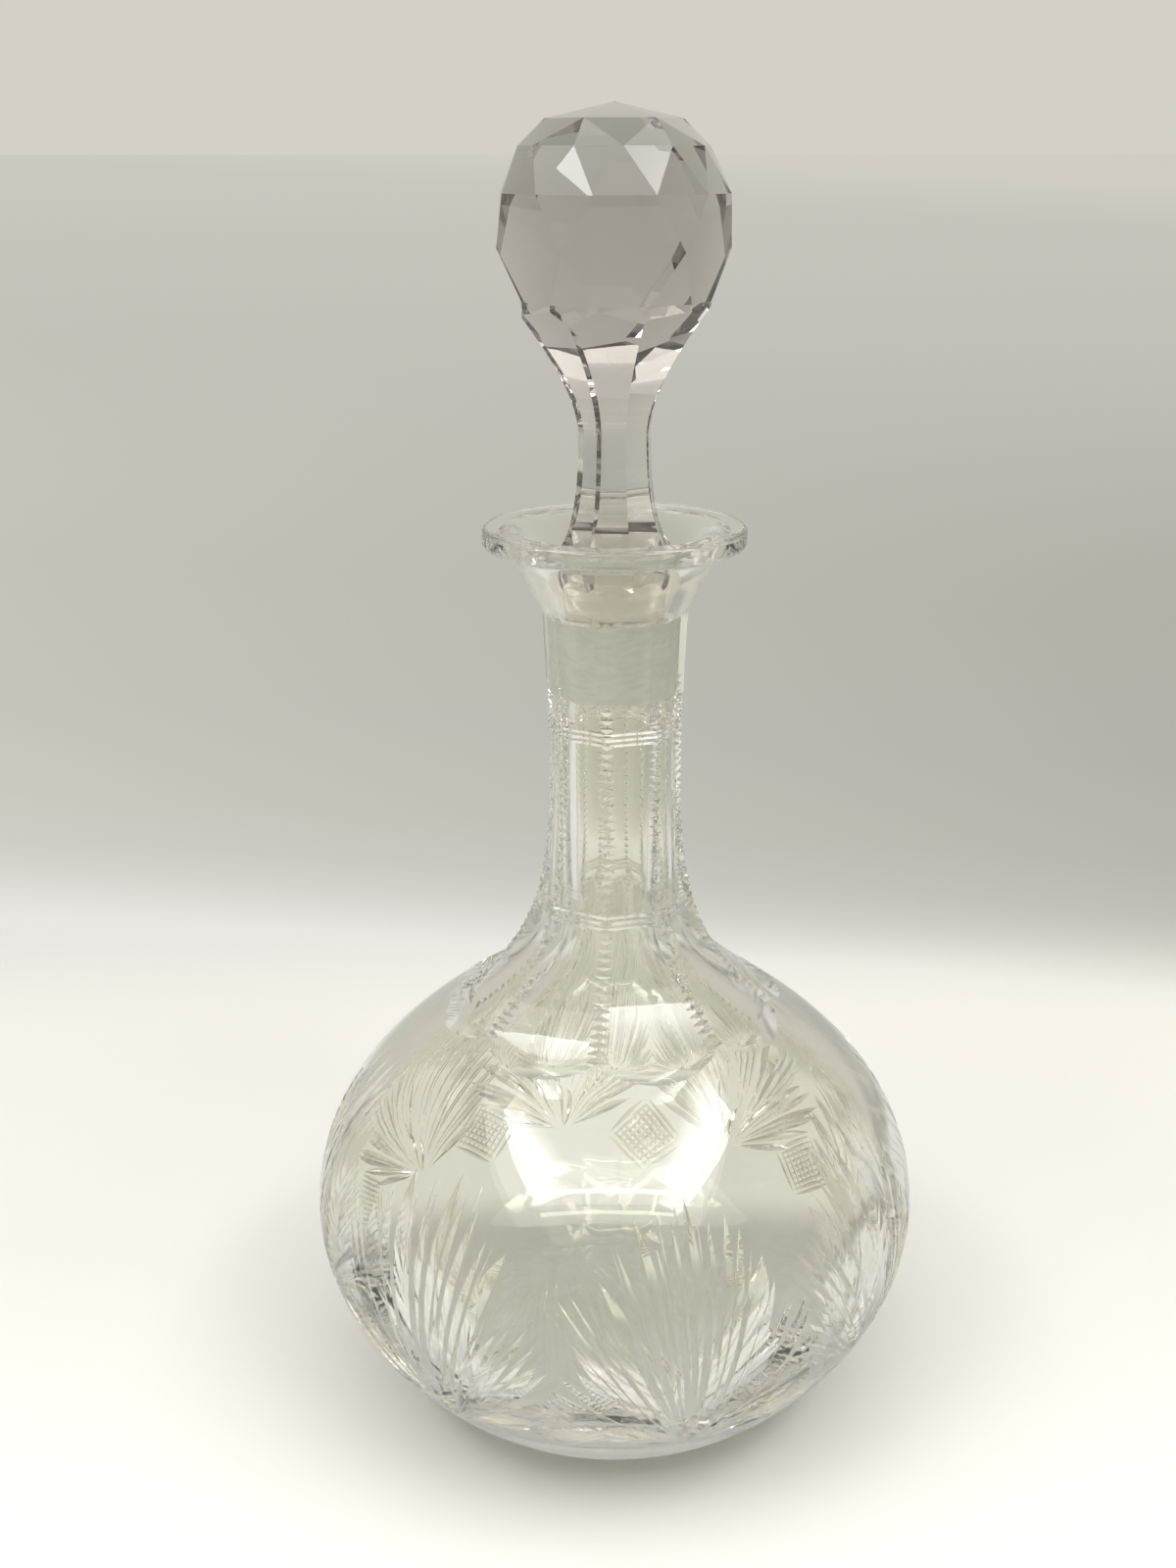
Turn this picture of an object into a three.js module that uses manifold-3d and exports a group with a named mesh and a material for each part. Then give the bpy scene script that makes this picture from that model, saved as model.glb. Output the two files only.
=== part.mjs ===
import * as THREE from 'three';
import { ConvexGeometry } from 'three/addons/geometries/ConvexGeometry.js';
import { mergeVertices } from 'three/addons/utils/BufferGeometryUtils.js';
import Module from 'manifold-3d';

// Globe decanter with a faceted ball stopper, in millimetres.
// The origin is the middle of the foot on the table, and +Z is up.

// Bowl
const bowlRadius = 65;
const footRadius = 38;
const bellyHeight = 43;
const wall = 6;
const floorThickness = 8;

// Shoulder, neck and lip
const shoulderRadius = 36.7;
const shoulderHeight = 87.6;
const shoulderSlope = 1.35;
const neckRadius = 13.6;
const waistHeight = 140;
const throatDrop = 17.3;
const bottleHeight = 191.3;
const lipRadius = 25.9;
const lipThickness = 3.8;
const mouthRadius = 21.5;
const neckWall = 4.7;

// Eight flat cuts down the neck, and the ring grooves across them
const panelCount = 8;
const panelTurn = -6.4;
const scallopRise = 0.05;
const ringGrooveHeights = [113.5, 151.4];
const ringGroovePitch = 1.1;
const ringGrooveDepth = 0.35;

// Ground plug and its seat
const plugTopRadius = 9.6;
const plugTaper = 0.06;
const plugLength = 17.2;
const plugDrop = 16.8;
const seatClearance = 0.3;

// Stopper above the mouth
const stopperTurn = -28;
const shankSides = 8;
const shankRadius = 6.7;
const shankFootRadius = 11;
const shankFootDrop = 4.8;
const shankWaistRise = 17.3;
const ballRadius = 22.3;
const ballRise = 55.9;
const ballTurn = -10;

// Fans of leaves cut into the bowl by hand: each one's turn about the axis in degrees, and its foot's height
const fans = [
  { turn: 14, height: 20.5 },
  { turn: 58, height: 22.5 },
  { turn: 104, height: 23 },
  { turn: 150, height: 23.5 },
  { turn: 193.5, height: 23.5 },
  { turn: 234, height: 25.5 },
  { turn: 282, height: 27.5 },
  { turn: 325.5, height: 20 },
];

// The leaves of a fan, on both sides: turn from upright in degrees, reach as a share of the bowl's outline, depth
const leaves = [
  { turn: 9, reach: 0.45, depth: 1.1 },
  { turn: 22.5, reach: 0.42, depth: 2 },
  { turn: 46, reach: 0.29, depth: 1.6 },
  { turn: 76, reach: 0.25, depth: 2.2 },
];
const leafSlope = 1.6;
const leafSteps = 6;

// Fineness of the round surfaces
const columns = 48;
const curveSteps = 8;

// Sizes that follow from those above
const throatHeight = bottleHeight - throatDrop;
const throatRadius = plugTopRadius + seatClearance + neckWall;
const plugTopHeight = bottleHeight - plugDrop;
const plugFootHeight = plugTopHeight - plugLength;
const plugFootRadius = plugTopRadius - plugTaper * plugLength;
const boreRadius = plugFootRadius + 2 * seatClearance;
const ballHeight = bottleHeight + ballRise;

const wasm = await Module();
wasm.setup();

const radians = THREE.MathUtils.degToRad;
const panelAngle = radians(360 / panelCount);

const glass = new THREE.MeshStandardMaterial({
  color: 0xdfe3dc,
  roughness: 0.05,
  metalness: 0,
  transparent: true,
  opacity: 0.45,
});

const stopperGlass = new THREE.MeshStandardMaterial({
  color: 0xd8dbd8,
  roughness: 0.04,
  metalness: 0,
  transparent: true,
  opacity: 0.5,
});

// A point at a radius, an angle about the axis and a height. Angle 0 faces the front, at -Y.
function around(radius, angle, height) {
  return new THREE.Vector3(radius * Math.sin(angle), -radius * Math.cos(angle), height);
}

// One closed solid through rows of points. A row of one point is a pole, and a longer end row is capped.
function solidFromRows(rows) {
  const points = rows.flat();
  const starts = [];
  let count = 0;
  for (const row of rows) {
    starts.push(count);
    count += row.length;
  }
  const triangles = [];
  for (let i = 0; i + 1 < rows.length; i++) {
    const here = rows[i].length;
    const next = rows[i + 1].length;
    for (let j = 0; j < Math.max(here, next); j++) {
      const a = starts[i] + (j % here);
      const b = starts[i] + ((j + 1) % here);
      const c = starts[i + 1] + ((j + 1) % next);
      const d = starts[i + 1] + (j % next);
      if (here > 1) {
        triangles.push(a, b, next > 1 ? c : d);
      }
      if (next > 1) {
        triangles.push(a, c, d);
      }
    }
  }
  for (let j = 1; j + 1 < rows[0].length; j++) {
    triangles.push(0, j + 1, j);
  }
  const top = starts[rows.length - 1];
  for (let j = 1; j + 1 < rows[rows.length - 1].length; j++) {
    triangles.push(top, top + j, top + j + 1);
  }
  return solidFromTriangles(points.flatMap((point) => point.toArray()), triangles);
}

function solidFromTriangles(positions, triangles) {
  return new wasm.Manifold(new wasm.Mesh({
    numProp: 3,
    vertProperties: new Float32Array(positions),
    triVerts: new Uint32Array(triangles),
  }));
}

function meshFromSolid(solid, name, material) {
  const { vertProperties, triVerts } = solid.getMesh();
  const geometry = new THREE.BufferGeometry();
  geometry.setAttribute('position', new THREE.BufferAttribute(vertProperties, 3));
  geometry.setIndex(new THREE.BufferAttribute(triVerts, 1));
  geometry.computeVertexNormals();
  const mesh = new THREE.Mesh(geometry, material);
  mesh.name = name;
  return mesh;
}

// Outlines: x is the radius and y the height.
function outlinePoint(radius, height) {
  return new THREE.Vector2(radius, height);
}

function outlineCurve(start, startHandle, endHandle, end) {
  return new THREE.CubicBezierCurve(start, startHandle, endHandle, end);
}

// Where along a rising outline a height is reached.
function shareAtHeight(curve, height) {
  let low = 0;
  let high = 1;
  for (let i = 0; i < 30; i++) {
    const middle = (low + high) / 2;
    if (curve.getPoint(middle).y < height) {
      low = middle;
    } else {
      high = middle;
    }
  }
  return (low + high) / 2;
}

const foot = outlinePoint(footRadius, 0);
const belly = outlinePoint(bowlRadius, bellyHeight);
const shoulder = outlinePoint(shoulderRadius, shoulderHeight);
const waist = outlinePoint(neckRadius, waistHeight);
const throat = outlinePoint(throatRadius, throatHeight);
const shoulderLine = outlinePoint(shoulderSlope, -1);

// The bowl's outside from the foot to the shoulder.
function bowlOutline() {
  const path = new THREE.CurvePath();
  const lowHandle = outlinePoint(footRadius + 0.44 * (bowlRadius - footRadius), 0.19 * bellyHeight);
  path.add(outlineCurve(foot, lowHandle, outlinePoint(bowlRadius, 0.58 * bellyHeight), belly));
  const rise = shoulderHeight - bellyHeight;
  const shoulderHandle = shoulder.clone().addScaledVector(shoulderLine, 0.27 * rise);
  path.add(outlineCurve(belly, outlinePoint(bowlRadius, bellyHeight + 0.43 * rise), shoulderHandle, shoulder));
  return path;
}

// The neck's ridges from the shoulder up to the waist.
function neckOutline() {
  const rise = waistHeight - shoulderHeight;
  const shoulderHandle = shoulder.clone().addScaledVector(shoulderLine, -0.22 * rise);
  return outlineCurve(shoulder, shoulderHandle, outlinePoint(neckRadius, shoulderHeight + 0.39 * rise), waist);
}

const bowl = bowlOutline();
const neck = neckOutline();
const upperNeck = new THREE.QuadraticBezierCurve(
  waist,
  outlinePoint(neckRadius, (waistHeight + throatHeight) / 2),
  throat,
);

const columnsPerPanel = columns / panelCount;

// How far a column lies from the middle of its panel, from -1 to 1. Both ends are ridges.
function panelShare(column) {
  return (2 * (column % columnsPerPanel)) / columnsPerPanel - 1;
}

function columnAngle(column) {
  return radians(panelTurn) + (column / columns) * 2 * Math.PI;
}

function roundRow(point) {
  const row = [];
  for (let i = 0; i < columns; i++) {
    row.push(around(point.x, columnAngle(i), point.y));
  }
  return row;
}

// A row across the eight panels. A cut of 0 is round and 1 is flat from ridge to ridge.
function panelRow(curve, share, cut, rise) {
  const row = [];
  for (let i = 0; i < columns; i++) {
    const side = panelShare(i);
    const flat = Math.cos(panelAngle / 2) / Math.cos((side * panelAngle) / 2);
    const point = curve.getPoint(share + (1 - share) * rise * side * side);
    row.push(around(point.x * (1 - cut * (1 - flat)), columnAngle(i), point.y));
  }
  return row;
}

// Three V grooves round the neck, one above the other.
function ringGrooveRows(curve, height) {
  const rows = [];
  for (let i = -3; i <= 3; i++) {
    const share = shareAtHeight(curve, height + (i * ringGroovePitch) / 2);
    const row = panelRow(curve, share, 1, 0);
    if (i % 2 === 0) {
      for (const point of row) {
        const radius = Math.hypot(point.x, point.y);
        point.x *= 1 - ringGrooveDepth / radius;
        point.y *= 1 - ringGrooveDepth / radius;
      }
    }
    rows.push(row);
  }
  return rows;
}

function outsideRows() {
  const rows = [[new THREE.Vector3(0, 0, 0)]];
  for (let i = 0; i < 2 * curveSteps; i++) {
    rows.push(roundRow(bowl.getPoint(i / (2 * curveSteps))));
  }
  rows.push(panelRow(neck, 0, 0, scallopRise));
  rows.push(panelRow(neck, 0.02, 0.7, scallopRise));
  for (const share of [0.06, 0.13, 0.2, 0.3, 0.4, 0.5]) {
    rows.push(panelRow(neck, share, 1, scallopRise));
  }
  const [lowGroove, highGroove] = ringGrooveHeights;
  rows.push(...ringGrooveRows(neck, lowGroove));
  rows.push(panelRow(neck, 0.85, 1, 0));
  rows.push(panelRow(neck, 1, 1, 0));
  rows.push(...ringGrooveRows(upperNeck, highGroove));
  rows.push(panelRow(upperNeck, 1, 1, 0));
  return rows;
}

// The throat, the lip's edge and its flat top.
function lipRows() {
  const underside = bottleHeight - lipThickness;
  const edge = 0.8;
  const throatTop = outlinePoint(throatRadius, throatHeight + edge);
  const flareRise = underside - throatTop.y;
  const flare = outlineCurve(
    throatTop,
    outlinePoint(throatRadius + 1.9, throatTop.y + 0.25 * flareRise),
    outlinePoint(throatRadius + 4.4, throatTop.y + 0.75 * flareRise),
    outlinePoint(lipRadius - 3.4, underside),
  );
  const rows = [];
  for (let i = 0; i <= 4; i++) {
    rows.push(roundRow(flare.getPoint(i / 4)));
  }
  rows.push(roundRow(outlinePoint(lipRadius - edge, underside)));
  rows.push(roundRow(outlinePoint(lipRadius, underside + edge)));
  rows.push(roundRow(outlinePoint(lipRadius, bottleHeight - edge)));
  rows.push(roundRow(outlinePoint(lipRadius - edge, bottleHeight)));
  rows.push(roundRow(outlinePoint(mouthRadius, bottleHeight)));
  return rows;
}

// The hollow, from the mouth down through the ground seat and the bore to the bowl's floor.
function insideRows() {
  const seatTop = plugTopRadius + seatClearance;
  const seatFoot = plugFootRadius + seatClearance;
  const funnelRadius = Math.max(shankFootRadius, plugTopRadius) / Math.cos(Math.PI / shankSides) + 1;
  const shoulderInset = wall + 1.5;
  const slopeLength = Math.hypot(shoulderSlope, 1);
  const innerShoulder = outlinePoint(
    shoulderRadius - shoulderInset / slopeLength,
    shoulderHeight - (shoulderInset * shoulderSlope) / slopeLength,
  );
  const boreFoot = outlinePoint(boreRadius, shoulderHeight + 0.39 * (waistHeight - shoulderHeight));
  const innerBelly = outlinePoint(bowlRadius - wall, bellyHeight);
  const innerFoot = outlinePoint(footRadius - 4, floorThickness);
  const neckCurve = outlineCurve(
    boreFoot,
    outlinePoint(boreRadius, boreFoot.y - 0.45 * (boreFoot.y - innerShoulder.y)),
    innerShoulder.clone().addScaledVector(shoulderLine, -0.26 * (boreFoot.y - innerShoulder.y)),
    innerShoulder,
  );
  const upperCurve = outlineCurve(
    innerShoulder,
    innerShoulder.clone().addScaledVector(shoulderLine, 0.26 * (innerShoulder.y - bellyHeight)),
    outlinePoint(innerBelly.x, bellyHeight + 0.44 * (innerShoulder.y - bellyHeight)),
    innerBelly,
  );
  const lowerCurve = outlineCurve(
    innerBelly,
    outlinePoint(innerBelly.x, bellyHeight - 0.5 * (bellyHeight - floorThickness)),
    outlinePoint((innerFoot.x + innerBelly.x) / 2, floorThickness + 0.08 * (bellyHeight - floorThickness)),
    innerFoot,
  );
  const rows = [
    roundRow(outlinePoint(funnelRadius + 1, bottleHeight - shankFootDrop - 0.5)),
    roundRow(outlinePoint(funnelRadius - 0.4, plugTopHeight + 0.55 * (plugDrop - shankFootDrop))),
    roundRow(outlinePoint(seatTop + 0.9, plugTopHeight + 0.3 * (plugDrop - shankFootDrop))),
    roundRow(outlinePoint(seatTop, plugTopHeight)),
    roundRow(outlinePoint(seatFoot, plugFootHeight)),
    roundRow(outlinePoint(boreRadius, plugFootHeight - 2)),
  ];
  for (const [curve, steps] of [[neckCurve, 5], [upperCurve, 6], [lowerCurve, 6]]) {
    for (let i = 0; i < steps; i++) {
      rows.push(roundRow(curve.getPoint(i / steps)));
    }
  }
  rows.push(roundRow(innerFoot));
  rows.push([new THREE.Vector3(0, 0, floorThickness)]);
  return rows;
}

// A wedge that cuts one pointed V groove into the bowl, from the foot of its fan to the leaf's tip.
function leafCutter(fan, turn, leaf) {
  const length = leaf.reach * bowl.getLength();
  const overlap = 0.5;
  const rows = [];
  let share = shareAtHeight(bowl, fan.height);
  let angle = radians(fan.turn);
  for (let i = 0; i <= leafSteps; i++) {
    const middle = i / leafSteps;
    const depth = leaf.depth * 4 * middle * (1 - middle) - 0.12;
    const halfWidth = (depth + overlap) * leafSlope;
    const point = bowl.getPoint(share);
    const slope = bowl.getTangent(share);
    const outward = around(slope.y, angle, -slope.x);
    const upward = around(slope.x, angle, slope.y);
    const sideways = new THREE.Vector3(Math.cos(angle), Math.sin(angle), 0);
    const along = upward.multiplyScalar(Math.cos(turn)).addScaledVector(sideways, Math.sin(turn));
    const across = new THREE.Vector3().crossVectors(outward, along);
    const surface = around(point.x, angle, point.y);
    const rim = surface.clone().addScaledVector(outward, overlap);
    rows.push([
      surface.clone().addScaledVector(outward, -depth),
      rim.clone().addScaledVector(across, halfWidth),
      rim.clone().addScaledVector(across, -halfWidth),
    ]);
    share += (leaf.reach * Math.cos(turn)) / leafSteps;
    angle += (length * Math.sin(turn)) / leafSteps / point.x;
  }
  return solidFromRows(rows);
}

function leafCutters() {
  const cutters = [];
  for (const fan of fans) {
    for (const leaf of leaves) {
      cutters.push(leafCutter(fan, radians(leaf.turn), leaf));
      cutters.push(leafCutter(fan, radians(-leaf.turn), leaf));
    }
  }
  return cutters;
}

function makeCarafeBody() {
  const blank = solidFromRows([...outsideRows(), ...lipRows(), ...insideRows()]);
  const cut = blank.subtract(wasm.Manifold.union(leafCutters())).simplify(0.02);
  return meshFromSolid(cut, 'carafe_body', glass);
}

// A ring of points at a radius and a height, with the first one at a turn in degrees.
function turnedRing(count, turn, radius, height) {
  const points = [];
  for (let i = 0; i < count; i++) {
    points.push(around(radius, radians(turn + (360 * i) / count), height));
  }
  return points;
}

// A ring of points on the ball at a latitude in degrees.
function ballRing(count, turn, latitude) {
  const radius = ballRadius * Math.cos(radians(latitude));
  return turnedRing(count, turn, radius, ballHeight + ballRadius * Math.sin(radians(latitude)));
}

// The faceted ball, with a column under it that goes on past the shank, so that the shank's flare trims both.
function ballSolid() {
  const lowRing = ballRing(12, ballTurn, -37);
  const hull = new ConvexGeometry([
    new THREE.Vector3(0, 0, ballHeight + 0.95 * ballRadius),
    ...ballRing(6, ballTurn - 15, 55),
    ...ballRing(12, ballTurn + 15, 37.6),
    ...ballRing(12, ballTurn, 14.3),
    ...ballRing(6, ballTurn - 15, -10.8),
    ...lowRing,
  ]);
  hull.deleteAttribute('normal');
  const merged = mergeVertices(hull);
  const ball = solidFromTriangles(merged.attributes.position.array, merged.index.array);
  const columnRadius = 0.76 * ballRadius;
  const column = solidFromRows([
    turnedRing(12, ballTurn, columnRadius, bottleHeight - 2 * shankFootDrop),
    turnedRing(12, ballTurn, columnRadius, ballHeight - 0.8 * ballRadius),
    lowRing,
  ]);
  return ball.add(column);
}

// Eight flat sides that spread from the shank's waist to its foot below and over the ball above.
function flareSolid() {
  const waistPoint = outlinePoint(shankRadius, bottleHeight + shankWaistRise);
  const footPoint = outlinePoint(shankFootRadius, bottleHeight - shankFootDrop);
  const top = outlinePoint(0.9 * ballRadius, ballHeight - 0.52 * ballRadius);
  const footRise = waistPoint.y - footPoint.y;
  const topRise = top.y - waistPoint.y;
  const lower = outlineCurve(
    footPoint,
    outlinePoint(shankRadius + 0.2 * (shankFootRadius - shankRadius), footPoint.y + 0.16 * footRise),
    outlinePoint(shankRadius, footPoint.y + 0.6 * footRise),
    waistPoint,
  );
  const upper = outlineCurve(
    waistPoint,
    outlinePoint(shankRadius, waistPoint.y + 0.3 * topRise),
    outlinePoint(shankRadius + 0.46 * (top.x - shankRadius), waistPoint.y + 0.64 * topRise),
    top,
  );
  const profile = [outlinePoint(shankFootRadius - 0.4, footPoint.y - 1.8)];
  for (let i = 0; i < 6; i++) {
    profile.push(lower.getPoint(i / 6));
  }
  for (let i = 0; i <= curveSteps; i++) {
    profile.push(upper.getPoint(i / curveSteps));
  }
  profile.push(outlinePoint(2 * ballRadius, ballHeight));
  profile.push(outlinePoint(2 * ballRadius, ballHeight + 2 * ballRadius));
  const rows = profile.map((point) => {
    const row = [];
    for (let i = 0; i < shankSides; i++) {
      const angle = radians(stopperTurn + (360 * i) / shankSides);
      row.push(around(point.x / Math.cos(Math.PI / shankSides), angle, point.y));
    }
    return row;
  });
  return solidFromRows(rows);
}

// The round plug: a ground taper that fits the seat, and a neck that runs up into the shank's foot.
function plugSolid() {
  const bevel = 0.6;
  const profile = [
    outlinePoint(plugFootRadius - bevel, plugFootHeight),
    outlinePoint(plugFootRadius, plugFootHeight + bevel),
    outlinePoint(plugTopRadius, plugTopHeight),
    outlinePoint(plugTopRadius + 0.5, plugTopHeight + 0.3 * (plugDrop - shankFootDrop)),
    outlinePoint(shankFootRadius - 0.8, bottleHeight - shankFootDrop - 0.8),
  ];
  const rows = [[new THREE.Vector3(0, 0, plugFootHeight)]];
  for (const point of profile) {
    rows.push(roundRow(point));
  }
  rows.push([new THREE.Vector3(0, 0, bottleHeight - shankFootDrop - 0.8)]);
  return solidFromRows(rows);
}

function makeStopper() {
  const upper = ballSolid().intersect(flareSolid());
  return meshFromSolid(upper.add(plugSolid()).simplify(0.02), 'stopper', stopperGlass);
}

const carafe = new THREE.Group();
carafe.name = 'carafe';
carafe.add(makeCarafeBody());
carafe.add(makeStopper());

export default carafe;
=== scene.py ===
"""Looks of the cut-glass carafe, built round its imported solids.

Shapes are worked out in millimetres in the row frame, and turned into metres when a mesh is made.
Azimuth 0 faces the camera, at -Y, and grows towards +X.
"""

import math

import bmesh
import bpy
import numpy as np
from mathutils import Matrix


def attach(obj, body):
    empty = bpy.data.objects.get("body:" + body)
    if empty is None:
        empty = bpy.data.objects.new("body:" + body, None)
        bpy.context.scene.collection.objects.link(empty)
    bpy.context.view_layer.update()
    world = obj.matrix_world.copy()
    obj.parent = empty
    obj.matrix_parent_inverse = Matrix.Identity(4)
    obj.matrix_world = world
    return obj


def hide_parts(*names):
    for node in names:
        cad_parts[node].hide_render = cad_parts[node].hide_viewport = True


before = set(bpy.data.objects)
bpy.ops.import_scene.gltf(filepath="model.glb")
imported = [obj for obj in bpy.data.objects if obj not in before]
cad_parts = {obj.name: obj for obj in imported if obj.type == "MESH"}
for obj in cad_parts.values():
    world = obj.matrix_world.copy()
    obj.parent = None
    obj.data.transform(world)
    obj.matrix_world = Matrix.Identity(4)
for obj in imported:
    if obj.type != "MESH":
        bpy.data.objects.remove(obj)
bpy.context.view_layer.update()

MM = 0.001

# Bowl
BOWL_RADIUS = 65.0
FOOT_RADIUS = 38.0
BELLY_HEIGHT = 43.0
FOOT_RING_RADII = (12, 24, 36.8)
WALL = 6.0
SHOULDER_WALL = 7.5
FLOOR_THICKNESS = 8.0
FLOOR_INSET = 4
FLOOR_DISH = 0.6

# Shoulder, neck and lip
SHOULDER_RADIUS = 36.7
SHOULDER_HEIGHT = 87.6
SHOULDER_SLOPE = 1.35
NECK_RADIUS = 13.6
NECK_HANDLE = 0.39
WAIST_HEIGHT = 140.0
THROAT_RADIUS = 14.6
THROAT_HEIGHT = 174.0
BOTTLE_HEIGHT = 191.3
LIP_RADIUS = 25.9
LIP_THICKNESS = 3.8
LIP_ROUNDING = 0.9
MOUTH_RADIUS = 21.5

# Panels down the neck. Each starts at its scallop's edge, where PANEL_ONSET gives the length above the edge and
# the share of the flat that is cut.
PANELS = 8
PANEL_TURN = math.radians(-6.4)
PANEL_ANGLE = 2 * math.pi / PANELS
SCALLOP_RISE = 0.05
PANEL_ONSET = ((0, 0), (0.25, 0.3), (0.7, 0.62), (1.3, 0.86), (2.1, 0.97), (3.0, 1))
RING_HEIGHTS = (113.5, 151.4)
RING_PITCH = 1.1
RING_DEPTH = 0.35
RING_HALF_WIDTH = 0.42
RING_BAND_HALF = 2.2
NOTCH_HEIGHTS = (91.0, 158.0)
NOTCH_PITCH = 1.75
NOTCH_DEPTH = 0.7
NOTCH_OVERLAP = 0.35
NOTCH_HALF_LENGTH = 1.9
NOTCH_HALF_WIDTH = 0.72

# Plug, seat and stopper
PLUG_TOP_RADIUS = 9.6
PLUG_FOOT_RADIUS = 8.568
PLUG_TOP_HEIGHT = 174.5
PLUG_FOOT_HEIGHT = 157.3
PLUG_BEVEL = 0.6
SEAT_CLEARANCE = 0.3
SEAT_RUNOUT = 1.6
BORE_RADIUS = 9.168
BORE_TOP_HEIGHT = 150
STOPPER_TURN = math.radians(-28)
SHANK_SIDES = 8
SHANK_RADIUS = 6.7
SHANK_FOOT_RADIUS = 11.0
SHANK_FOOT_HEIGHT = 186.5
SHANK_FOOT_SINK = 0.8
SHANK_WAIST_HEIGHT = 208.6
BALL_RADIUS = 22.3
BALL_HEIGHT = 247.2
BALL_TURN = -10.0
BALL_CROWN = 0.95
BALL_DENT = 0.95
BALL_LOW_RING = (12, BALL_TURN, -37, 0.4)
COLUMN_RADIUS = 0.735 * BALL_RADIUS
COLUMN_HEIGHTS = (181.7, BALL_HEIGHT - 0.74 * BALL_RADIUS)

# Radius and height of the four points that shape each curve of the mouth's funnel and of the plug's neck
SEAT_TOP = (PLUG_TOP_RADIUS + SEAT_CLEARANCE, PLUG_TOP_HEIGHT)
PLUG_NECK_TOP = (SHANK_FOOT_RADIUS - SHANK_FOOT_SINK, SHANK_FOOT_HEIGHT - SHANK_FOOT_SINK)
MOUTH_CURVE = ((MOUTH_RADIUS - 0.6, BOTTLE_HEIGHT - 0.25), (16.5, 190.2), (13.6, 187.4), (12.6, 183.2))
FUNNEL_CURVE = ((12.4, 182.2), (11.6, 179.6), (10.9, 177.4), SEAT_TOP)
PLUG_NECK_CURVE = ((9.65, 174.9), (9.8, 177), (9.9, 181), PLUG_NECK_TOP)

# Points round each row of the bottle and of the plug
COLUMNS = 240
PLUG_COLUMNS = 128


# Points and curves


def around(radius, azimuth, height):
    """Points at a radius, an azimuth and a height, which may be numbers or arrays."""
    radius, azimuth, height = np.broadcast_arrays(radius, azimuth, height)
    return np.stack([radius * np.sin(azimuth), -radius * np.cos(azimuth), height], axis=-1).astype(float)


def bezier(start, start_handle, end_handle, end, steps):
    """Points of a cubic curve, the ends included."""
    t = np.linspace(0, 1, steps + 1)[:, None]
    a, b, c, d = (np.array(p, float) for p in (start, start_handle, end_handle, end))
    return (1 - t) ** 3 * a + 3 * (1 - t) ** 2 * t * b + 3 * (1 - t) * t * t * c + t**3 * d


class Outline:
    """A line of radius and height that is read by the length along it."""

    def __init__(self, points):
        self.points = points
        self.lengths = np.concatenate([[0], np.cumsum(np.hypot(*np.diff(points, axis=0).T))])
        self.total = self.lengths[-1]

    def at(self, length):
        radius = np.interp(length, self.lengths, self.points[:, 0])
        height = np.interp(length, self.lengths, self.points[:, 1])
        return radius, height

    def slope(self, length):
        """The line's direction as a unit vector of radius and height."""
        reach = 0.4
        step = np.array(self.at(length + reach)) - np.array(self.at(length - reach))
        return step / np.hypot(*step)

    def length_at(self, height):
        return float(np.interp(height, self.points[:, 1], self.lengths))


def bowl_outline():
    """From the foot's edge over the belly to the shoulder's scallops."""
    rise = SHOULDER_HEIGHT - BELLY_HEIGHT
    width = BOWL_RADIUS - FOOT_RADIUS
    lower = bezier(
        (FOOT_RADIUS, 0),
        (FOOT_RADIUS + 0.44 * width, 0.19 * BELLY_HEIGHT),
        (BOWL_RADIUS, 0.58 * BELLY_HEIGHT),
        (BOWL_RADIUS, BELLY_HEIGHT),
        300,
    )
    upper = bezier(
        (BOWL_RADIUS, BELLY_HEIGHT),
        (BOWL_RADIUS, BELLY_HEIGHT + 0.43 * rise),
        (SHOULDER_RADIUS + 0.27 * SHOULDER_SLOPE * rise, SHOULDER_HEIGHT - 0.27 * rise),
        (SHOULDER_RADIUS, SHOULDER_HEIGHT),
        300,
    )
    return Outline(np.vstack([lower, upper[1:]]))


def neck_outline():
    """From the shoulder's scallops up the ridges of the neck to the throat."""
    rise = WAIST_HEIGHT - SHOULDER_HEIGHT
    lower = bezier(
        (SHOULDER_RADIUS, SHOULDER_HEIGHT),
        (SHOULDER_RADIUS - 0.22 * SHOULDER_SLOPE * rise, SHOULDER_HEIGHT + 0.22 * rise),
        (NECK_RADIUS, SHOULDER_HEIGHT + NECK_HANDLE * rise),
        (NECK_RADIUS, WAIST_HEIGHT),
        300,
    )
    middle = (WAIST_HEIGHT + THROAT_HEIGHT) / 2
    upper = bezier(
        (NECK_RADIUS, WAIST_HEIGHT),
        (NECK_RADIUS, (WAIST_HEIGHT + 2 * middle) / 3),
        ((THROAT_RADIUS + 2 * NECK_RADIUS) / 3, (THROAT_HEIGHT + 2 * middle) / 3),
        (THROAT_RADIUS, THROAT_HEIGHT),
        100,
    )
    return Outline(np.vstack([lower, upper[1:]]))


BOWL = bowl_outline()
NECK = neck_outline()

# The turn of each point of a row, and its place across its panel, from -1 at one ridge to 1 at the next
AZIMUTHS = PANEL_TURN + np.arange(COLUMNS) / COLUMNS * 2 * math.pi
PANEL_SHARE = 2 * ((np.arange(COLUMNS) * PANELS / COLUMNS) % 1) - 1


# Rows that make up the solids


def round_row(radius, height):
    return around(radius, AZIMUTHS, height)


def pole_row(height):
    """A single point on the axis."""
    return around(0, 0, height)[None, :]


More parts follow.
